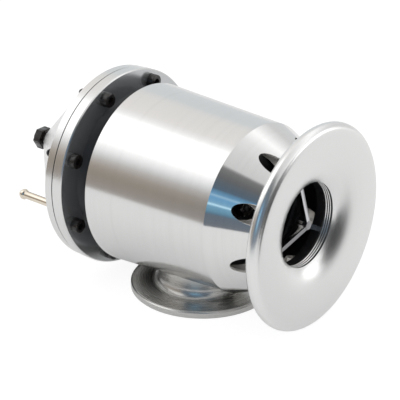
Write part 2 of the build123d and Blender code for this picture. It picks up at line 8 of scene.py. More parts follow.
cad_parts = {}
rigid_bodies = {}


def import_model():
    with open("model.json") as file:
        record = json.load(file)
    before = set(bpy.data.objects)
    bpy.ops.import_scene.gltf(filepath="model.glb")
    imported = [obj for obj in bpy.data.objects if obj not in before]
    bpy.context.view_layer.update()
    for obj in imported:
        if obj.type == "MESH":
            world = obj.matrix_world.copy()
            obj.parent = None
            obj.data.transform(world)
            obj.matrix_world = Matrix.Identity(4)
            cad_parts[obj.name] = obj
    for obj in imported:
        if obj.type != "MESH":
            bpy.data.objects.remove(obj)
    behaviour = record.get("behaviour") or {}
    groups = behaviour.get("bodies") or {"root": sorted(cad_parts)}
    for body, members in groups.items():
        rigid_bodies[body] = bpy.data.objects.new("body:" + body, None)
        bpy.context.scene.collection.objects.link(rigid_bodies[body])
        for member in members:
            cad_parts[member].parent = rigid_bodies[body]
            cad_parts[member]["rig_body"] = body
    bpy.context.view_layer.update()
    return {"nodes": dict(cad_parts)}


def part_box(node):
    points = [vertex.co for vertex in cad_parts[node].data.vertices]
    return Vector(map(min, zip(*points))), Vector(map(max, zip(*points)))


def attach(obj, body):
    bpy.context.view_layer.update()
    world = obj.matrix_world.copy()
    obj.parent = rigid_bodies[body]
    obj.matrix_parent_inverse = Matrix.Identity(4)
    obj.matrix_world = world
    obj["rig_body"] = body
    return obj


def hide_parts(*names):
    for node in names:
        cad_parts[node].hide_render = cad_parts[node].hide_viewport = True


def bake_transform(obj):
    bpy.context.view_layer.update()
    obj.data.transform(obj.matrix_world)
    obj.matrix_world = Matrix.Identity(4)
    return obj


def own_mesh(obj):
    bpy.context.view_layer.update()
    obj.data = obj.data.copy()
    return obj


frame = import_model()
scene = bpy.context.scene
mm = 0.001
axisHeight = 39.4 * mm  # the valve's own axis runs along X at this height
print("frame loaded:", len(frame["nodes"]), "nodes")


camera = {
    # where it stands and looks, in metres, with its lens and sensor in millimetres
    "place": (0.29715, -0.37117, 0.25496), "target": (-0.00129, 0.0, 0.03509), "lens": 125.8, "sensor": 36,
}


def addCamera():
    data = bpy.data.cameras.new("camera")
    data.lens = camera["lens"]
    data.sensor_width = camera["sensor"]
    eye = bpy.data.objects.new("camera", data)
    scene.collection.objects.link(eye)
    eye.location = camera["place"]
    look = Vector(camera["target"]) - Vector(camera["place"])
    eye.rotation_euler = look.to_track_quat("-Z", "Y").to_euler()
    scene.camera = eye


def link(tree, start, end):
    tree.links.new(start, end)


def mathNode(tree, kind, first, second=None):
    node = tree.nodes.new("ShaderNodeMath")
    node.operation = kind
    for slot, value in enumerate((first, second)):
        if value is None:
            continue
        if isinstance(value, (int, float)):
            node.inputs[slot].default_value = value
        else:
            link(tree, value, node.inputs[slot])
    return node.outputs[0]


def rampNode(tree, value, stops):
    # stops are (place, colour); a single number is a grey
    ramp = tree.nodes.new("ShaderNodeValToRGB")
    points = ramp.color_ramp.elements
    while len(points) < len(stops):
        points.new(1.0)
    for point, (place, colour) in zip(points, stops):
        point.position = place
        shade = (colour,) * 3 if isinstance(colour, (int, float)) else colour
        point.color = (*shade, 1)
    link(tree, value, ramp.inputs[0])
    return ramp.outputs[0]


studio = {
    # sky on the cover's side and on the horn's side, by degrees round the valve's axis from +Y upwards
    "coverSide": [
        (0, (0.74, 0.77, 0.79)), (38, (0.74, 0.77, 0.79)), (46, (0.86, 0.85, 0.83)), (80, (0.96, 0.93, 0.91)),
        (89, 1.15), (95, 1.6), (128, 1.6), (136, 1.2), (146, 1.0), (180, 0.9), (270, 0.8), (350, 0.74),
    ],
    "hornSide": [
        (0, 0.75), (26, 0.76), (40, 1.0), (53, 1.3), (70, 0.98), (89, 0.84), (110, 0.75), (150, 0.8),
        (180, 0.9), (270, 0.8), (350, 0.75),
    ],
    "meeting": (-0.42, -0.16),
    "floorSize": 2.5,
    "floorColour": 0.82,
    "floorEmission": 1.14,
    "floorShares": {"Is Camera Ray": 0.8, "Is Glossy Ray": 0.3, "Is Transmission Ray": 0.8},
}


def stagePiece(name, bm):
    # A mesh of the studio with a material whose nodes are still to come
    mesh = bpy.data.meshes.new(name)
    bm.to_mesh(mesh)
    bm.free()
    piece = bpy.data.objects.new(name, mesh)
    scene.collection.objects.link(piece)
    material = bpy.data.materials.new(name)
    material.use_nodes = True
    material.node_tree.nodes.clear()
    mesh.materials.append(material)
    return piece, material.node_tree


def mixShaders(tree, share, first, second):
    mix = tree.nodes.new("ShaderNodeMixShader")
    link(tree, share, mix.inputs[0])
    link(tree, first, mix.inputs[1])
    link(tree, second, mix.inputs[2])
    return mix.outputs[0]


def addOutput(tree, shader):
    output = tree.nodes.new("ShaderNodeOutputMaterial")
    link(tree, shader, output.inputs[0])


def glowNode(tree, strength=1.0):
    glow = tree.nodes.new("ShaderNodeEmission")
    glow.inputs["Strength"].default_value = strength
    return glow


def onlyMirrored(board):
    # Cards and discs are seen by the valve's metal alone
    board.visible_camera = board.visible_diffuse = board.visible_shadow = False


def addWorld():
    world = bpy.data.worlds.new("studio")
    scene.world = world
    world.use_nodes = True
    tree = world.node_tree
    background = tree.nodes["Background"]
    place = tree.nodes.new("ShaderNodeTexCoord")
    parts = tree.nodes.new("ShaderNodeSeparateXYZ")
    link(tree, place.outputs["Generated"], parts.inputs[0])
    turn = mathNode(tree, "ARCTAN2", parts.outputs["Z"], parts.outputs["Y"])
    turn = mathNode(tree, "FRACT", mathNode(tree, "MULTIPLY", turn, 1 / math.tau))
    sides = []
    for side in ("coverSide", "hornSide"):
        sides.append(rampNode(tree, turn, [(degrees / 360, colour) for degrees, colour in studio[side]]))
    share = tree.nodes.new("ShaderNodeMapRange")
    share.interpolation_type = "SMOOTHSTEP"
    share.inputs["From Min"].default_value, share.inputs["From Max"].default_value = studio["meeting"]
    link(tree, parts.outputs["X"], share.inputs["Value"])
    mix = tree.nodes.new("ShaderNodeMix")
    mix.data_type = "RGBA"
    link(tree, share.outputs[0], mix.inputs["Factor"])
    link(tree, sides[0], mix.inputs["A"])
    link(tree, sides[1], mix.inputs["B"])
    path = tree.nodes.new("ShaderNodeLightPath")
    plain = tree.nodes.new("ShaderNodeMix")
    plain.data_type = "RGBA"
    link(tree, path.outputs["Is Camera Ray"], plain.inputs["Factor"])
    link(tree, mix.outputs["Result"], plain.inputs["A"])
    plain.inputs["B"].default_value = (1, 1, 1, 1)
    link(tree, plain.outputs["Result"], background.inputs["Color"])


def addFloor():
    bm = bmesh.new()
    bmesh.ops.create_grid(bm, x_segments=1, y_segments=1, size=studio["floorSize"])
    floor, tree = stagePiece("floor", bm)
    path = tree.nodes.new("ShaderNodeLightPath")
    card = tree.nodes.new("ShaderNodeBsdfDiffuse")
    card.inputs["Color"].default_value = (*(studio["floorColour"],) * 3, 1)
    shares = [mathNode(tree, "MULTIPLY", path.outputs[ray], share) for ray, share in studio["floorShares"].items()]
    share = mathNode(tree, "ADD", mathNode(tree, "ADD", shares[0], shares[1]), shares[2])
    glow = glowNode(tree, studio["floorEmission"])
    addOutput(tree, mixShaders(tree, share, card.outputs[0], glow.outputs[0]))


studioCards = {
    # upright cards: both ends on the floor plan, foot and top, colour by height
    "brownCard": {
        "ends": ((-1.2, -0.293), (-0.075, -0.293)), "foot": 0.0005, "top": 0.34,
        "stops": [
            (0.0, (0.40, 0.37, 0.34)), (0.034, (0.37, 0.33, 0.30)), (0.092, (0.34, 0.30, 0.25)),
            (0.14, (0.42, 0.37, 0.32)), (0.19, (0.60, 0.57, 0.54)), (0.229, 0.82), (0.27, 1.05), (0.34, 1.3),
        ],
    },
    "darkCard": {
        "ends": ((-0.075, -0.293), (1.2, -0.293)), "foot": 0.0005, "top": 0.72,
        "stops": [
            (0.0, (0.19, 0.21, 0.24)), (0.075, (0.15, 0.19, 0.24)), (0.26, (0.11, 0.16, 0.22)),
            (0.30, (0.115, 0.155, 0.2)), (0.42, (0.16, 0.165, 0.17)), (0.62, (0.24, 0.24, 0.24)), (0.72, 0.6),
        ],
    },
    "blueCard": {
        "ends": ((0.04, -0.289), (0.18, -0.289)), "foot": 0.078, "top": 0.252,
        "stops": [
            (0.078, (0.12, 0.22, 0.31)), (0.10, (0.17, 0.36, 0.50)), (0.127, (0.20, 0.42, 0.60)),
            (0.136, (0.78, 1.15, 1.35)), (0.146, (0.24, 0.46, 0.66)), (0.186, (0.17, 0.41, 0.67)),
            (0.205, (0.40, 0.62, 0.80)), (0.214, (0.17, 0.38, 0.60)), (0.252, (0.12, 0.24, 0.36)),
        ],
    },
}


def addCard(name, card):
    bm = bmesh.new()
    bmesh.ops.create_grid(bm, x_segments=1, y_segments=1, size=0.5)
    for point in bm.verts:
        place = card["ends"][0 if point.co.x < 0 else 1]
        point.co = (*place, card["foot"] if point.co.y < 0 else card["top"])
    board, tree = stagePiece(name, bm)
    place = tree.nodes.new("ShaderNodeTexCoord")
    parts = tree.nodes.new("ShaderNodeSeparateXYZ")
    link(tree, place.outputs["Object"], parts.inputs[0])
    height = mathNode(tree, "DIVIDE", parts.outputs["Z"], card["top"])
    colour = rampNode(tree, height, [(z / card["top"], shade) for z, shade in card["stops"]])
    glow = glowNode(tree)
    link(tree, colour, glow.inputs["Color"])
    addOutput(tree, glow.outputs[0])
    onlyMirrored(board)


studioDiscs = {
    # round cards that face the valve: place, radius, share of the radius before it fades, brightness
    "darkDisc": {"place": (0.245, -0.01, 0.05), "radius": 0.12, "full": 0.55, "shade": 0.09},
    "nearDisc": {"place": (0.14, 0.027, 0.021), "radius": 0.046, "full": 0.6, "shade": 0.03},
    "brightDisc": {"place": (0.47, 0.41, 0.13), "radius": 0.24, "full": 0.25, "shade": 2.0},
}


def addDisc(name, disc):
    bm = bmesh.new()
    place = Vector(disc["place"])
    facing = Vector((0.05, 0, axisHeight)) - place  # the horn's throat
    aim = Matrix.Translation(place) @ facing.to_track_quat("Z", "Y").to_matrix().to_4x4()
    bmesh.ops.create_circle(bm, cap_ends=True, segments=48, radius=disc["radius"], matrix=aim)
    board, tree = stagePiece(name, bm)
    spot = tree.nodes.new("ShaderNodeTexCoord")
    reach = tree.nodes.new("ShaderNodeVectorMath")
    reach.operation = "DISTANCE"
    link(tree, spot.outputs["Object"], reach.inputs[0])
    reach.inputs[1].default_value = place
    fade = tree.nodes.new("ShaderNodeMapRange")
    fade.interpolation_type = "SMOOTHSTEP"
    fade.inputs["From Min"].default_value = disc["radius"] * disc["full"]
    fade.inputs["From Max"].default_value = disc["radius"]
    link(tree, reach.outputs["Value"], fade.inputs["Value"])
    clear = tree.nodes.new("ShaderNodeBsdfTransparent")
    addOutput(tree, mixShaders(tree, fade.outputs[0], glowNode(tree, disc["shade"]).outputs[0], clear.outputs[0]))
    onlyMirrored(board)


addCamera()
addWorld()
addFloor()
for cardName, cardFacts in studioCards.items():
    addCard(cardName, cardFacts)
for discName, discFacts in studioDiscs.items():
    addDisc(discName, discFacts)
print("studio ready")


def newMaterial(name):
    material = bpy.data.materials.new(name)
    material.use_nodes = True
    return material, material.node_tree, material.node_tree.nodes["Principled BSDF"]


def noiseNode(tree, vector, scale, detail):
    noise = tree.nodes.new("ShaderNodeTexNoise")
    noise.inputs["Scale"].default_value = scale
    noise.inputs["Detail"].default_value = detail
    link(tree, vector, noise.inputs["Vector"])
    return noise.outputs["Fac"]


def rangeNode(tree, value, low, high):
    node = tree.nodes.new("ShaderNodeMapRange")
    node.inputs["To Min"].default_value, node.inputs["To Max"].default_value = low, high
    link(tree, value, node.inputs["Value"])
    return node.outputs[0]


def shadeNode(tree, share, colour, darker, lighter, shader):
    shade = tree.nodes.new("ShaderNodeMix")
    shade.data_type = "RGBA"
    shade.inputs["A"].default_value = (*[channel * darker for channel in colour], 1)
    shade.inputs["B"].default_value = (*[min(1.0, channel * lighter) for channel in colour], 1)
    link(tree, share, shade.inputs["Factor"])
    link(tree, shade.outputs["Result"], shader.inputs["Base Color"])


def bumpNode(tree, height, strength, depth, shader):
    bump = tree.nodes.new("ShaderNodeBump")
    bump.inputs["Strength"].default_value = strength
    bump.inputs["Distance"].default_value = depth
    link(tree, height, bump.inputs["Height"])
    link(tree, bump.outputs[0], shader.inputs["Normal"])


latheFacts = {
    # noise scales of the lines, how far the lines wander and where, their depth, and the colour's range
    "fine": 2600.0, "broad": 500.0, "wander": 0.0006, "wanderScale": 40.0, "depth": 0.00002, "range": (0.94, 1.05),
}


def turnedMetal(name, colour, roughness, stretch=0.0, grooves=0.2, upright=False, spread=0.04, metallic=1.0):
    # Lathe lines run round the axis: the pattern reads only the place along the axis and the radius
    material, tree, metal = newMaterial(name)
    metal.inputs["Metallic"].default_value = metallic
    metal.inputs["Anisotropic"].default_value = stretch
    metal.inputs["Anisotropic Rotation"].default_value = 0.25  # a quarter turn lays the stretch along the lines
    place = tree.nodes.new("ShaderNodeTexCoord")
    centre = tree.nodes.new("ShaderNodeMapping")
    link(tree, place.outputs["Object"], centre.inputs["Vector"])
    if upright:
        centre.inputs["Rotation"].default_value = (0, math.pi / 2, 0)
    else:
        centre.inputs["Location"].default_value = (0, 0, -axisHeight)
    parts = tree.nodes.new("ShaderNodeSeparateXYZ")
    link(tree, centre.outputs[0], parts.inputs[0])
    across = mathNode(tree, "MULTIPLY", parts.outputs["Y"], parts.outputs["Y"])
    up = mathNode(tree, "MULTIPLY", parts.outputs["Z"], parts.outputs["Z"])
    radius = mathNode(tree, "SQRT", mathNode(tree, "ADD", across, up))
    drift = noiseNode(tree, place.outputs["Object"], latheFacts["wanderScale"], 1.0)
    line = tree.nodes.new("ShaderNodeCombineXYZ")
    link(tree, parts.outputs["X"], line.inputs["X"])
    link(tree, radius, line.inputs["Y"])
    link(tree, mathNode(tree, "MULTIPLY", drift, latheFacts["wander"]), line.inputs["Z"])
    fine = noiseNode(tree, line.outputs[0], latheFacts["fine"], 3.0)
    broad = noiseNode(tree, line.outputs[0], latheFacts["broad"], 2.0)
    both = mathNode(tree, "ADD", fine, broad)
    bumpNode(tree, both, grooves, latheFacts["depth"], metal)
    link(tree, rangeNode(tree, fine, roughness - spread, roughness + spread), metal.inputs["Roughness"])
    shadeNode(tree, both, colour, *latheFacts["range"], metal)
    if stretch:
        tangent = tree.nodes.new("ShaderNodeTangent")
        tangent.direction_type = "RADIAL"
        tangent.axis = "Z" if upright else "X"
        link(tree, tangent.outputs[0], metal.inputs["Tangent"])
    return material


skinFacts = {
    # how much coarser the broad grain is, the spread of its gloss, the fine grain's depth, and the colour's range
    "coarser": 9, "spread": 0.07, "depth": 0.00002, "range": (0.85, 1.12),
}


def plainFinish(name, colour, roughness, metallic=0.0, grain=900.0, bumps=0.15):
    # Cast, plated, blackened or moulded skin: fine grain in colour, gloss and height
    material, tree, skin = newMaterial(name)
    skin.inputs["Metallic"].default_value = metallic
    place = tree.nodes.new("ShaderNodeTexCoord")
    fine = noiseNode(tree, place.outputs["Object"], grain, 4.0)
    broad = noiseNode(tree, place.outputs["Object"], grain / skinFacts["coarser"], 2.0)
    gloss = rangeNode(tree, broad, roughness - skinFacts["spread"], roughness + skinFacts["spread"])
    link(tree, gloss, skin.inputs["Roughness"])
    shadeNode(tree, broad, colour, *skinFacts["range"], skin)
    bumpNode(tree, fine, bumps, skinFacts["depth"], skin)
    return material


silver = (0.73, 0.73, 0.725)
barrelFinish = turnedMetal("barrelFinish", silver, 0.19, stretch=0.85, grooves=0.06, spread=0.03)
noseFinish = turnedMetal("noseFinish", silver, 0.1, stretch=0.5, grooves=0.05, spread=0.02)
# darker, browner metal than the barrel on flange and neck: partly their own darker metal, partly painted shade for the
# dark reflections beneath the barrel
flangeMetalAndShade = turnedMetal("flangeMetalAndShade", (0.57, 0.565, 0.55), 0.27, stretch=0.5, grooves=0.12, upright=True)
ringFinish = turnedMetal("ringFinish", silver, 0.22, stretch=0.6, grooves=0.12)
hornFinish = turnedMetal("hornFinish", (0.78, 0.78, 0.775), 0.26, grooves=0.02, spread=0.02)
# painted light: a lighter, partly diffuse copy of the body's metal on the window walls, for their bright floors
windowPaintedLight = plainFinish("windowPaintedLight", (0.85, 0.83, 0.80), 0.24, metallic=0.65, grain=700.0, bumps=0.1)
# painted shade: a darker, less metallic copy of the ring's metal on its front face, for the dark gap it mirrors
ringFacePaintedShade = turnedMetal("ringFacePaintedShade", (0.55, 0.56, 0.57), 0.22, grooves=0.12, metallic=0.86)
# painted shade: near-black put on bores, the inlet, the body's inside and the guide ring, where shade falls
borePaintedShade = plainFinish("borePaintedShade", (0.012, 0.012, 0.014), 0.45)
# painted shade: near-black on the ring's core where it shows in the narrow gap
gapPaintedShade = plainFinish("gapPaintedShade", (0.03, 0.032, 0.036), 0.42)
# painted shade: dark grey on the barrel's rear face, so the ring's front mirrors a dark gap
backPaintedShade = plainFinish("backPaintedShade", (0.21, 0.215, 0.225), 0.4, bumps=0.1)
blackSteel = plainFinish("blackSteel", (0.014, 0.012, 0.011), 0.17, bumps=0.12)
darkSteel = plainFinish("darkSteel", (0.05, 0.05, 0.052), 0.35, metallic=1.0)
brightSteel = plainFinish("brightSteel", (0.6, 0.6, 0.61), 0.25, metallic=1.0)
guideFinish = plainFinish("guideFinish", (0.72, 0.73, 0.75), 0.1, metallic=1.0, bumps=0.04)
# painted shade: a dark copy of the guide's metal on the arms' front faces, for the dark stripes they mirror
armFrontPaintedShade = plainFinish("armFrontPaintedShade", (0.3, 0.3, 0.31), 0.16, metallic=1.0, bumps=0.04)
nippleFinish = plainFinish("nippleFinish", (0.82, 0.74, 0.63), 0.18, metallic=1.0, bumps=0.04)
blackAnodised = plainFinish("blackAnodised", (0.012, 0.012, 0.014), 0.4)
bronze = plainFinish("bronze", (0.55, 0.40, 0.2), 0.35, metallic=1.0)
rubber = plainFinish("rubber", (0.015, 0.015, 0.015), 0.6, grain=1400.0, bumps=0.3)
cloth = plainFinish("clothRubber", (0.02, 0.019, 0.018), 0.65, grain=2400.0, bumps=0.5)
print("finishes ready")


def addPiece(name, bm, node, materials, sharp=32.0, pickMaterial=None, body=None):
    mesh = bpy.data.meshes.new(name)
    bm.to_mesh(mesh)
    bm.free()
    for material in materials:
        mesh.materials.append(material)
    mesh.shade_smooth()
    mesh.set_sharp_from_angle(angle=math.radians(sharp))
    if pickMaterial:
        for face in mesh.polygons:
            points = [mesh.vertices[point] for point in face.vertices]
            face.material_index = materials.index(pickMaterial(face, points))
    piece = bpy.data.objects.new(name, mesh)
    scene.collection.objects.link(piece)
    if body != "blended":
        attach(piece, body or frame["nodes"][node]["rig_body"])
    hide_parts(node)
    return piece


def mergedCopy(node):
    # The frame's own mesh is loose triangles, so a copy of it is merged before it is shaded smooth
    bm = bmesh.new()
    bm.from_mesh(frame["nodes"][node].data)
    bmesh.ops.remove_doubles(bm, verts=bm.verts, dist=0.000002)
    return bm


runFacts = {
    # how near a point has to be, in millimetres: to a run's line, past its ends, and along the axis on a flat face
    "beside": 0.006, "past": 0.02, "flat": 0.003,
}


def turnedNormals(mesh, runs, uprightRuns=()):
    # Faces whose corners all lie on a turned run, from (along, radius) to (along, radius), get that run's exact
    # slope at each corner, and faces square to the axis theirs, so long thin faces reflect evenly
    corners = [Vector(corner.vector) for corner in mesh.corner_normals]
    level, upright = Vector((1, 0, 0)), Vector((0, 0, 1))
    for axis, centre, group in ((level, upright * axisHeight, runs), (upright, Vector(), uprightRuns)):
        spokes = [point.co - centre - axis * (point.co - centre).dot(axis) for point in mesh.vertices]
        places = [
            ((point.co - centre).dot(axis) / mm, spoke.length / mm) for point, spoke in zip(mesh.vertices, spokes)
        ]
        for face in mesh.polygons:
            alongs = [places[point][0] for point in face.vertices]
            if max(alongs) - min(alongs) < runFacts["flat"] and abs(face.normal.dot(axis)) > 0.5:
                for loop in face.loop_indices:
                    corners[loop] = axis * math.copysign(1, face.normal.dot(axis))
        for (startAlong, startRadius), (endAlong, endRadius) in group:
            length = math.hypot(endAlong - startAlong, endRadius - startRadius)
            along, out = (startRadius - endRadius) / length, (endAlong - startAlong) / length
            low, high = min(startAlong, endAlong) - runFacts["past"], max(startAlong, endAlong) + runFacts["past"]
            onRun = [
                low < place < high
                and abs((place - startAlong) * along + (radius - startRadius) * out) < runFacts["beside"]
                for place, radius in places
            ]
            for face in mesh.polygons:
                if not all(onRun[point] for point in face.vertices):
                    continue
                if face.normal.dot(axis * along + spokes[face.vertices[0]].normalized() * out) < 0.8:
                    continue
                for loop, point in zip(face.loop_indices, face.vertices):
                    corners[loop] = axis * along + spokes[point].normalized() * out
    mesh.normals_split_custom_set([tuple(corner) for corner in corners])


def bendNormals(mesh, bend):
    # The neck's foot bends out to the flange like a quarter ellipse: middle as (radius, z), reach out and down
    middleRadius, middleZ, out, down = bend
    corners = [Vector(corner.vector) for corner in mesh.corner_normals]
    for face in mesh.polygons:
        places = [mesh.vertices[point].co / mm for point in face.vertices]
        spokes = [math.hypot(place.x, place.y) for place in places]
        inside = [
            middleRadius - out - 0.01 < spoke < middleRadius + 0.01 and middleZ - down - 0.01 < place.z < middleZ + 0.01
            for place, spoke in zip(places, spokes)
        ]
        if face.normal.z < 0.01 or not all(inside):
            continue
        for loop, place, spoke in zip(face.loop_indices, places, spokes):
            along, rise = (middleRadius - spoke) / out ** 2, (middleZ - place.z) / down ** 2
            corners[loop] = Vector((place.x / spoke * along, place.y / spoke * along, rise)).normalized()
    mesh.normals_split_custom_set([tuple(corner) for corner in corners])


def spinProfile(points, steps, closed=True, centre=(0.0, 0.0)):
    # Half section of a turned piece as (x, radius), swept round an axis along X; the centre is off the valve's own
    middle = (0, centre[0] * mm, axisHeight + centre[1] * mm)
    bm = bmesh.new()
    verts = [bm.verts.new((x * mm, middle[1], middle[2] + radius * mm)) for x, radius in points]
    ends = verts[1:] + verts[:1] if closed else verts[1:]
    edges = [bm.edges.new(pair) for pair in zip(verts, ends) if pair[0].co != pair[1].co]
    bmesh.ops.spin(
        bm, geom=verts + edges, cent=middle, axis=(1, 0, 0), angle=math.tau, steps=steps,
        use_merge=True, use_duplicate=False,
    )
    bmesh.ops.remove_doubles(bm, verts=bm.verts, dist=0.000001)
    bmesh.ops.recalc_face_normals(bm, faces=bm.faces)
    return bm


def circlePlaces(radius, first):
    # Eight places round the valve's axis in steps of 45 degrees, as (y, z)
    turns = [math.radians(first + 45 * number) for number in range(8)]
    return [(radius * math.cos(turn), radius * math.sin(turn)) for turn in turns]


def drawToHexagon(bm, width, centre=(0.0, 0.0), wall=None):
    # Points beyond a hexagon are drawn in to it; those of a round socket's wall are moved on to it
    for point in bm.verts:
        y, z = point.co.y / mm - centre[0], (point.co.z - axisHeight) / mm - centre[1]
        radius, turn = math.hypot(y, z), math.degrees(math.atan2(z, y))
        edge = width / 2 / math.cos(math.radians(turn % 60 - 30))
        drawn = radius > edge if wall is None else abs(radius - wall) < 0.01
        if drawn:
            point.co.y = (centre[0] + y * edge / radius) * mm
            point.co.z = axisHeight + (centre[1] + z * edge / radius) * mm


def softenEdges(bm, width, angle, segments):
    # Edges sharper than the angle are rounded, once faces in one plane are joined
    bmesh.ops.dissolve_limit(bm, angle_limit=math.radians(0.5), verts=bm.verts, edges=bm.edges)
    sharp = [edge for edge in bm.edges if edge.is_manifold and edge.calc_face_angle(0) > math.radians(angle)]
    bmesh.ops.bevel(
        bm, geom=sharp, offset=width * mm, segments=segments, profile=0.5, affect="EDGES", material=-1,
        clamp_overlap=True,
    )
    return bm


def curvePoints(first, firstHandle, secondHandle, second, count):
    # Points of one smooth bend in the (x, radius) plane
    flat = [Vector((*point, 0)) for point in (first, firstHandle, secondHandle, second)]
    return [(point.x, point.y) for point in interpolate_bezier(*flat, count)]


def threadPoints(start, end, radius, pitch):
    # Thread as close rings: crest and root in turn, with a lead-in at the end
    rings = [(start, radius)]
    count = int(abs(end - start) / pitch)
    step = (end - start) / count
    for number in range(count):
        rings += [(start + (number + 0.5) * step, radius - 0.3 * pitch), (start + (number + 1) * step, radius)]
    return rings[:-1] + [(end, radius - 0.5 * pitch)]


bodyFacts = {
    # turned runs as (along, radius) to (along, radius), then what tells one face from another
    "barrel": ((-27.3, 35.0), (25.6, 32.1)),
    "nose": ((25.6, 32.1), (45.0, 23.4)),
    "neckWall": ((6.4, 16.5), (19.7, 16.5)),
    "flangeRim": ((0.3, 27.6), (2.2, 27.6)),
    "neckBend": (19.5, 6.4, 3.0, 3.6),
    "barrelNearness": 0.45, "noseNearness": 0.06,
    "noseEnd": 44.8, "rearX": -27.7, "rimRadius": 35.2, "flangeTop": 7.5, "neckRadius": 16.5, "inletReach": 13.9,
    "windowPitch": 25.0, "windowFirst": 21.0, "windowReach": 3.85, "windowStart": 30.0,
}
windowPlaces = circlePlaces(bodyFacts["windowPitch"], bodyFacts["windowFirst"])


def besideWindow(x, y, z):
    reach = min(math.hypot(y - windowY, z - windowZ) for windowY, windowZ in windowPlaces)
    return x > bodyFacts["windowStart"] and reach < bodyFacts["windowReach"]


def alongRun(points, run, nearness):
    (startX, startRadius), (endX, endRadius) = run
    slope = (endRadius - startRadius) / (endX - startX)
    for point in points:
        x, radius = point.co.x / mm, math.hypot(point.co.y, point.co.z - axisHeight) / mm
        if not startX - 0.5 <= x < endX + 0.05 or abs(radius - startRadius - slope * (x - startX)) >= nearness:
            return False
    return True


def bodyFinish(face, points):
    b = bodyFacts
    x, y, z = face.center.x / mm, face.center.y / mm, (face.center.z - axisHeight) / mm
    spokes = [math.hypot(point.co.x, point.co.y) / mm for point in points]
    if abs(face.normal.z) < 0.1 and all(abs(spoke - b["neckRadius"]) < 0.1 for spoke in spokes):
        return flangeMetalAndShade
    if face.center.z < b["flangeTop"] * mm or math.hypot(y, z) > b["rimRadius"]:
        return flangeMetalAndShade if math.hypot(x, y) > b["inletReach"] else borePaintedShade
    # the barrel's rear face, across the gap from the ring, gets painted shade
    if x < b["rearX"] + 0.05 and face.normal.x < -0.9:
        return backPaintedShade
    if face.normal.dot(Vector((0, y, z))) > 0:
        if alongRun(points, b["barrel"], b["barrelNearness"]):
            return barrelFinish
        if alongRun(points, b["nose"], b["noseNearness"]):
            return noseFinish
    if besideWindow(x, y, z):
        return windowPaintedLight
    # faces of the body's inside take the bores' painted shade
    return noseFinish if x > b["noseEnd"] else borePaintedShade


body = addPiece(
    "mainBody", mergedCopy("main_body"), "main_body",
    [barrelFinish, noseFinish, flangeMetalAndShade, backPaintedShade, borePaintedShade, windowPaintedLight], sharp=28.0, pickMaterial=bodyFinish,
)
turnedNormals(
    body.data, [bodyFacts["barrel"], bodyFacts["nose"]], [bodyFacts["neckWall"], bodyFacts["flangeRim"]],
)
bendNormals(body.data, bodyFacts["neckBend"])
print("body ready")


hornFacts = {
    "tailX": 40.0, "tailRadius": 18.5, "noseX": 45.0, "shoulderRadius": 21.0,
    "lipX": 53.0, "lipRadius": 38.4, "roll": 2.6, "faceX": 51.7, "faceRadius": 26.0,
    "throatRadius": 15.9, "throatEdgeX": 47.6, "pocketX": 43.8, "pocketRadius": 17.3,
    "ridges": (46.6, 45.7, 44.8), "ridge": 0.2,
}


def buildHorn():
    h = hornFacts
    rollX, rollRadius = h["lipX"] - h["roll"], h["lipRadius"] - h["roll"]
    handle = 0.5523 * h["roll"]  # makes a bend a quarter of a circle
    back = curvePoints(
        (h["noseX"], h["shoulderRadius"]), (h["noseX"] + 3.2, h["shoulderRadius"] + 4.0),
        (rollX - h["roll"], rollRadius - 7.5), (rollX - h["roll"], rollRadius), 24,
    )
    over = curvePoints(
        (rollX - h["roll"], rollRadius), (rollX - h["roll"], rollRadius + handle),
        (rollX - handle, h["lipRadius"]), (rollX, h["lipRadius"]), 8,
    )
    front = curvePoints(
        (rollX, h["lipRadius"]), (rollX + handle, h["lipRadius"]),
        (h["lipX"], rollRadius + handle), (h["lipX"], rollRadius), 8,
    )
    face = curvePoints(
        (h["lipX"], rollRadius), (h["lipX"], rollRadius - 2.4),
        (h["faceX"] + 0.47, h["faceRadius"] + 2.6), (h["faceX"], h["faceRadius"]), 20,
    )
    bell = curvePoints(
        (h["faceX"], h["faceRadius"]), (h["faceX"] - 0.72, h["faceRadius"] - 4.0),
        (h["throatEdgeX"] + 2.2, h["throatRadius"] + 2.2), (h["throatEdgeX"], h["throatRadius"]), 32,
    )
    start = [(h["tailX"], h["pocketRadius"]), (h["tailX"], h["tailRadius"]), (h["noseX"], h["tailRadius"])]
    throat = []
    for x in h["ridges"]:  # fine turned ridges catch the light along the throat's wall
        ridge = ((h["ridge"], 0), (0, h["ridge"]), (-h["ridge"], 0))
        throat += [(x + along, h["throatRadius"] + out) for along, out in ridge]
    throat += [(h["pocketX"], h["throatRadius"]), (h["pocketX"], h["pocketRadius"])]
    return spinProfile(start + back + over[1:] + front[1:] + face[1:] + bell[1:] + throat, 192)


addPiece("hornBell", buildHorn(), "horn", [hornFinish], sharp=30.0)


guideFacts = {
    # how the edges are rounded, and what tells the ring and the arms' front from the rest
    "width": 0.4, "angle": 35.0, "segments": 3, "ringRadius": 15.6, "frontNormal": 0.85,
}


def guideFinishPick(face, points):
    # The ring sits in the horn's pocket in the dark and takes the bores' painted shade; the arms have polished edges
    # along a front darkened with painted shade
    reach = min(math.hypot(point.co.y, point.co.z - axisHeight) for point in points)
    if reach > guideFacts["ringRadius"] * mm:
        return borePaintedShade
    return armFrontPaintedShade if face.normal.x > guideFacts["frontNormal"] else guideFinish


def buildGuide():
    return softenEdges(mergedCopy("throat_guide"), guideFacts["width"], guideFacts["angle"], guideFacts["segments"])


addPiece(
    "throatGuide", buildGuide(), "throat_guide", [guideFinish, borePaintedShade, armFrontPaintedShade],
    pickMaterial=guideFinishPick,
)
print("horn and guide ready")


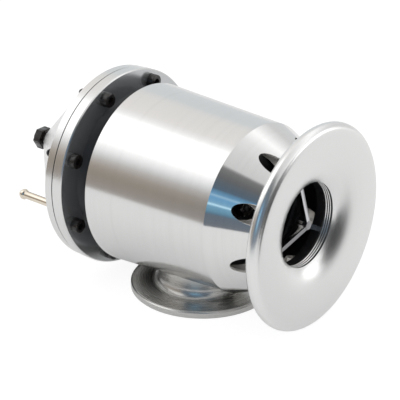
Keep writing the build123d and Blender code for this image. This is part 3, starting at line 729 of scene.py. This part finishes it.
ringFacts = {
    "coreRadius": 29.6, "coreX": -36.2,
    "rim": ((-40.4, 38.7), (-36.5, 38.7)), "rimEdge": ((-36.5, 38.7), (-36.1, 38.3)),
}
coverFacts = {
    "rim": ((-44.2, 38.5), (-41.0, 38.5)), "rimEdge": ((-44.6, 38.1), (-44.2, 38.5)),
    "cone": ((-76.4, 6.8), (-44.6, 37.6)), "coneEdge": ((-76.8, 6.4), (-76.4, 6.8)),
}


def ringFinishPick(face, points):
    # The core in the gap and the bores get painted shade; the front is the rim's metal darkened, painted shade for the
    # gap it mirrors
    if math.hypot(face.center.y, face.center.z - axisHeight) < ringFacts["coreRadius"] * mm:
        return gapPaintedShade if face.center.x > ringFacts["coreX"] * mm else borePaintedShade
    return ringFacePaintedShade if face.normal.x > 0.9 else ringFinish


ring = addPiece(
    "rearRing", mergedCopy("rear_ring"), "rear_ring", [ringFinish, gapPaintedShade, borePaintedShade, ringFacePaintedShade],
    pickMaterial=ringFinishPick,
)
turnedNormals(ring.data, [ringFacts["rim"], ringFacts["rimEdge"]])
cover = addPiece("rearCover", mergedCopy("rear_cover"), "rear_cover", [ringFinish])
turnedNormals(cover.data, [coverFacts[run] for run in ("rim", "rimEdge", "cone", "coneEdge")])
print("ring and cover ready")


screwFacts = {
    "pitchRadius": 34.3, "first": 22.5, "seatX": -36.1, "headTop": 3.0, "headRadius": 2.75,
    "radius": 1.5, "length": 12.4, "pitch": 0.5, "socket": 2.5, "socketDepth": 1.6, "knurls": 28, "knurlDepth": 0.09,
}
screwPlaces = circlePlaces(screwFacts["pitchRadius"], screwFacts["first"])


def buildScrew(centre):
    s = screwFacts
    top = s["seatX"] + s["headTop"]
    mouth = s["socket"] / 2 / math.cos(math.radians(30))
    points = [
        (top - s["socketDepth"] - 0.3, 0), (top - s["socketDepth"], mouth), (top, mouth),
        (top, s["headRadius"] - 0.4), (top - 0.15, s["headRadius"] - 0.12), (top - 0.45, s["headRadius"]),
        (s["seatX"] + 0.25, s["headRadius"]), (s["seatX"], s["headRadius"] - 0.2), (s["seatX"], s["radius"]),
    ]
    points += threadPoints(s["seatX"] - 0.4, s["seatX"] - s["length"] + 0.3, s["radius"], s["pitch"])
    points += [(s["seatX"] - s["length"], s["radius"] - 0.45), (s["seatX"] - s["length"], 0)]
    bm = spinProfile(points, 2 * s["knurls"], closed=False, centre=centre)
    drawToHexagon(bm, s["socket"], centre, wall=mouth)
    for point in bm.verts:  # every second point of the head's side is drawn in, which knurls it
        x, y, z = point.co.x / mm, point.co.y / mm - centre[0], (point.co.z - axisHeight) / mm - centre[1]
        if x > s["seatX"] + 0.1 and math.hypot(y, z) > s["headRadius"] - 0.01:
            if round(math.atan2(z, y) / math.pi * s["knurls"] - s["knurls"] / 2) % 2:
                point.co.y -= y * s["knurlDepth"] / s["headRadius"] * mm
                point.co.z -= z * s["knurlDepth"] / s["headRadius"] * mm
    return bm


for number, centre in enumerate(screwPlaces, 1):
    addPiece(f"coverScrew{number}", buildScrew(centre), f"cover_screw_{number}", [blackSteel])


boltFacts = {
    "headX": -84.8, "headTop": 3.6, "width": 8.0, "radius": 2.45, "endX": -66.5, "pitch": 0.8,
}


def buildBolt():
    b = boltFacts
    corner = b["width"] / 2 / math.cos(math.radians(30))
    back = b["headX"] + b["headTop"]
    points = [
        (b["headX"], 0), (b["headX"], b["width"] / 2 - 0.15), (b["headX"] + 0.35, corner),
        (back - 0.3, corner), (back, corner - 0.5), (back, b["radius"]),
    ]
    points += threadPoints(back + 0.4, b["endX"] - 0.3, b["radius"], b["pitch"])
    points += [(b["endX"], b["radius"] - 0.6), (b["endX"], 0)]
    bm = spinProfile(points, 96, closed=False)
    drawToHexagon(bm, b["width"])
    return bm


addPiece("adjusterBolt", buildBolt(), "adjuster_bolt", [blackSteel])


nutFacts = {
    # length along the axis, width across flats, bore that the stem's thread fills
    "stemNut": ("stem_nut", 4.0), "pickUpNut": ("pick_up_nut", 4.0), "width": 8.0, "bore": 2.5,
}


def buildNut(start, height):
    half = nutFacts["width"] / 2
    corner = half / math.cos(math.radians(30))
    bm = spinProfile(
        [
            (start, nutFacts["bore"]), (start, half - 0.1), (start + 0.35, corner), (start + height - 0.35, corner),
            (start + height, half - 0.1), (start + height, nutFacts["bore"]),
        ],
        96,
    )
    drawToHexagon(bm, nutFacts["width"])
    return bm


for name in ("stemNut", "pickUpNut"):
    node, height = nutFacts[name]
    addPiece(name, buildNut(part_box(node)[0][0] / mm, height), node, [blackSteel])
print("screws, bolt and nuts ready")


nippleFacts = {
    "centre": (-21.762, -14.679), "faceX": -57.31, "thread": 2.0, "threadLength": 4.5, "collar": 2.3,
    "collarHeight": 0.8, "tube": 1.55, "bead": 2.1, "tipX": -74.66, "tip": 1.4, "bore": 0.8, "pitch": 0.5,
}


def buildNipple():
    n = nippleFacts
    foot, collar, tip = n["faceX"] + n["threadLength"], n["faceX"] - n["collarHeight"], n["tipX"]
    points = [(foot, n["bore"])] + threadPoints(foot, n["faceX"] + 0.3, n["thread"], n["pitch"])[:-1]
    points += [
        (n["faceX"], n["thread"]), (n["faceX"], n["collar"]), (collar + 0.15, n["collar"]),
        (collar, n["collar"] - 0.15), (collar, n["tube"]),
    ]
    points += curvePoints(
        (tip + 2.75, n["tube"]), (tip + 2.5, n["tube"]), (tip + 2.3, n["bead"]), (tip + 2.0, n["bead"]), 5,
    )
    points += curvePoints(
        (tip + 1.2, n["bead"]), (tip + 0.9, n["bead"]), (tip + 0.5, n["tip"] + 0.1), (tip, n["tip"]), 6,
    )
    points += [(tip, n["bore"] + 0.1), (tip + 0.15, n["bore"])]
    return spinProfile(points, 48, centre=n["centre"])


addPiece("vacuumNipple", buildNipple(), "vacuum_nipple", [nippleFinish], sharp=40.0)
print("nipple ready")


springFacts = {
    # start and end along the axis, mean radius, wire radius, turns
    "mainSpring": (-13.3, 8.4, 12.5, 0.6, 5.0),
    "returnSpringFront": (-57.55, -42.5, 7.6, 0.9, 4.08),
    "returnSpringRear": (-64.5, -57.65, 7.6, 0.9, 1.86),
}


coilFacts = {"clearance": 0.02, "segments": 14, "stepsPerTurn": 40}


def buildSpring(name):
    start, end, mean, wire, turns = springFacts[name]
    inset = wire + coilFacts["clearance"]
    bm = bmesh.new()
    place = Vector(((start + inset) * mm, 0, axisHeight + mean * mm))
    ring = bmesh.ops.create_circle(bm, cap_ends=True, segments=coilFacts["segments"], radius=wire * mm)
    for point in ring["verts"]:  # the wire's section stands square to its path
        point.co = place + Vector((point.co.x, 0, point.co.y))
    steps = int(turns * coilFacts["stepsPerTurn"])
    rise = (end - start - 2 * inset) * mm / steps
    bmesh.ops.spin(
        bm, geom=list(bm.verts) + list(bm.edges) + list(bm.faces), cent=(0, 0, axisHeight), axis=(1, 0, 0),
        dvec=(rise, 0, 0), angle=math.tau * turns, steps=steps, use_merge=False, use_duplicate=False,
    )
    bmesh.ops.remove_doubles(bm, verts=bm.verts, dist=0.000001)
    bmesh.ops.recalc_face_normals(bm, faces=bm.faces)
    return bm


spring = addPiece("mainSpring", buildSpring("mainSpring"), "main_spring", [darkSteel])
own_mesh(spring)
spring = addPiece(
    "returnSpringFront", buildSpring("returnSpringFront"), "return_spring", [brightSteel], body="stem",
)
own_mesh(spring)
spring = addPiece("returnSpringRear", buildSpring("returnSpringRear"), "return_spring", [brightSteel])
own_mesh(spring)
print("springs ready")


diaphragmFacts = {
    "frontX": -40.4, "rearX": -41.0, "crestX": -37.8, "crestRadius": 22.0, "roll": 2.6, "inside": 2.0,
    "rim": 38.2, "bore": 2.55, "hole": 1.7, "steps": 128, "holeSteps": 16,
}


def arcPoints(x, reach, side, last):
    # From the roll's foot up to the last angle, in degrees, outwards (1) or inwards (-1)
    d = diaphragmFacts
    turns = [math.radians(degrees) for degrees in range(0, last + 1, 10)]
    return [(x + d["roll"] * math.sin(turn), d["crestRadius"] + side * reach * math.cos(turn)) for turn in turns]


def rollPoints(side):
    # Front of the roll from its foot to the crest, then back down the rear
    d = diaphragmFacts
    return arcPoints(d["frontX"], d["roll"], side, 90), arcPoints(d["rearX"], d["inside"], side, 70)[::-1]


def edgeRadius(edge, centre=(0.0, 0.0)):
    place = edge.verts[0].co / mm
    return math.hypot(place.y - centre[0], place.z - axisHeight / mm - centre[1])


def buildDiaphragmRim():
    # The roll's outer half, and a flat rim with holes where the screws pass
    d = diaphragmFacts
    front, rear = rollPoints(1)
    bm = spinProfile(front + rear, d["steps"], closed=False)
    upright = Matrix.Rotation(math.pi / 2, 4, "Y")
    for x, foot in ((d["frontX"], d["crestRadius"] + d["roll"]), (d["rearX"], d["crestRadius"] + d["inside"])):
        rings = [(0.0, 0.0, foot, d["steps"]), (0.0, 0.0, d["rim"], d["steps"])]
        rings += [(y, z, d["hole"], d["holeSteps"]) for y, z in screwPlaces]
        edges = set()
        for y, z, radius, segments in rings:
            place = Matrix.Translation((x * mm, y * mm, axisHeight + z * mm)) @ upright
            made = bmesh.ops.create_circle(bm, cap_ends=False, segments=segments, radius=radius * mm, matrix=place)
            edges.update(edge for point in made["verts"] for edge in point.link_edges)
        bmesh.ops.triangle_fill(bm, use_beauty=True, edges=list(edges), normal=(1, 0, 0))
    bmesh.ops.remove_doubles(bm, verts=bm.verts, dist=0.000004)
    openEdges = [edge for edge in bm.edges if edge.is_boundary]
    bmesh.ops.bridge_loops(bm, edges=[edge for edge in openEdges if edgeRadius(edge) > d["rim"] - 0.2])
    for centre in screwPlaces:
        around = [edge for edge in bm.edges if edge.is_boundary and edgeRadius(edge, centre) < d["hole"] + 0.5]
        bmesh.ops.bridge_loops(bm, edges=around)
    bmesh.ops.recalc_face_normals(bm, faces=bm.faces)
    return bm


def buildDiaphragmMiddle():
    d = diaphragmFacts
    front, rear = rollPoints(-1)
    return spinProfile(front + rear + [(d["rearX"], d["bore"]), (d["frontX"], d["bore"])], d["steps"])


rim = addPiece("diaphragmRim", buildDiaphragmRim(), "diaphragm", [cloth], body="blended")
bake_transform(rim)
middle = addPiece("diaphragmMiddle", buildDiaphragmMiddle(), "diaphragm", [cloth], body="blended")
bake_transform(middle)
print("diaphragm ready")


innerPieces = {
    "flange_o_ring": ("seal_rubber", rubber), "seat_o_ring": ("seal_rubber", rubber),
    "adjuster_o_ring": ("seal_rubber", rubber), "stem_seal": ("seal_rubber", rubber),
    "main_seal": ("seal_rubber", rubber), "primary_seal": ("seal_rubber", rubber),
    "valve_seat": ("seat_steel", darkSteel), "seat_circlip": ("spring_steel", darkSteel),
    "main_valve": ("valve_aluminium", blackAnodised), "primary_valve": ("valve_aluminium", blackAnodised),
    "valve_stem": ("stem_steel", darkSteel), "stem_washer": ("nut_steel", brightSteel),
    "front_plate": ("plate_aluminium", brightSteel), "rear_plate": ("plate_aluminium", brightSteel),
    "stem_bush": ("bush_bronze", bronze), "spring_seat": ("plate_aluminium", brightSteel),
}


def pieceName(node):
    first, *rest = node.split("_")
    return first + "".join(word.capitalize() for word in rest)


for node, (slot, material) in innerPieces.items():
    addPiece(pieceName(node), mergedCopy(node), node, [material])
print("inner pieces ready")


scene.view_settings.view_transform = "Standard"
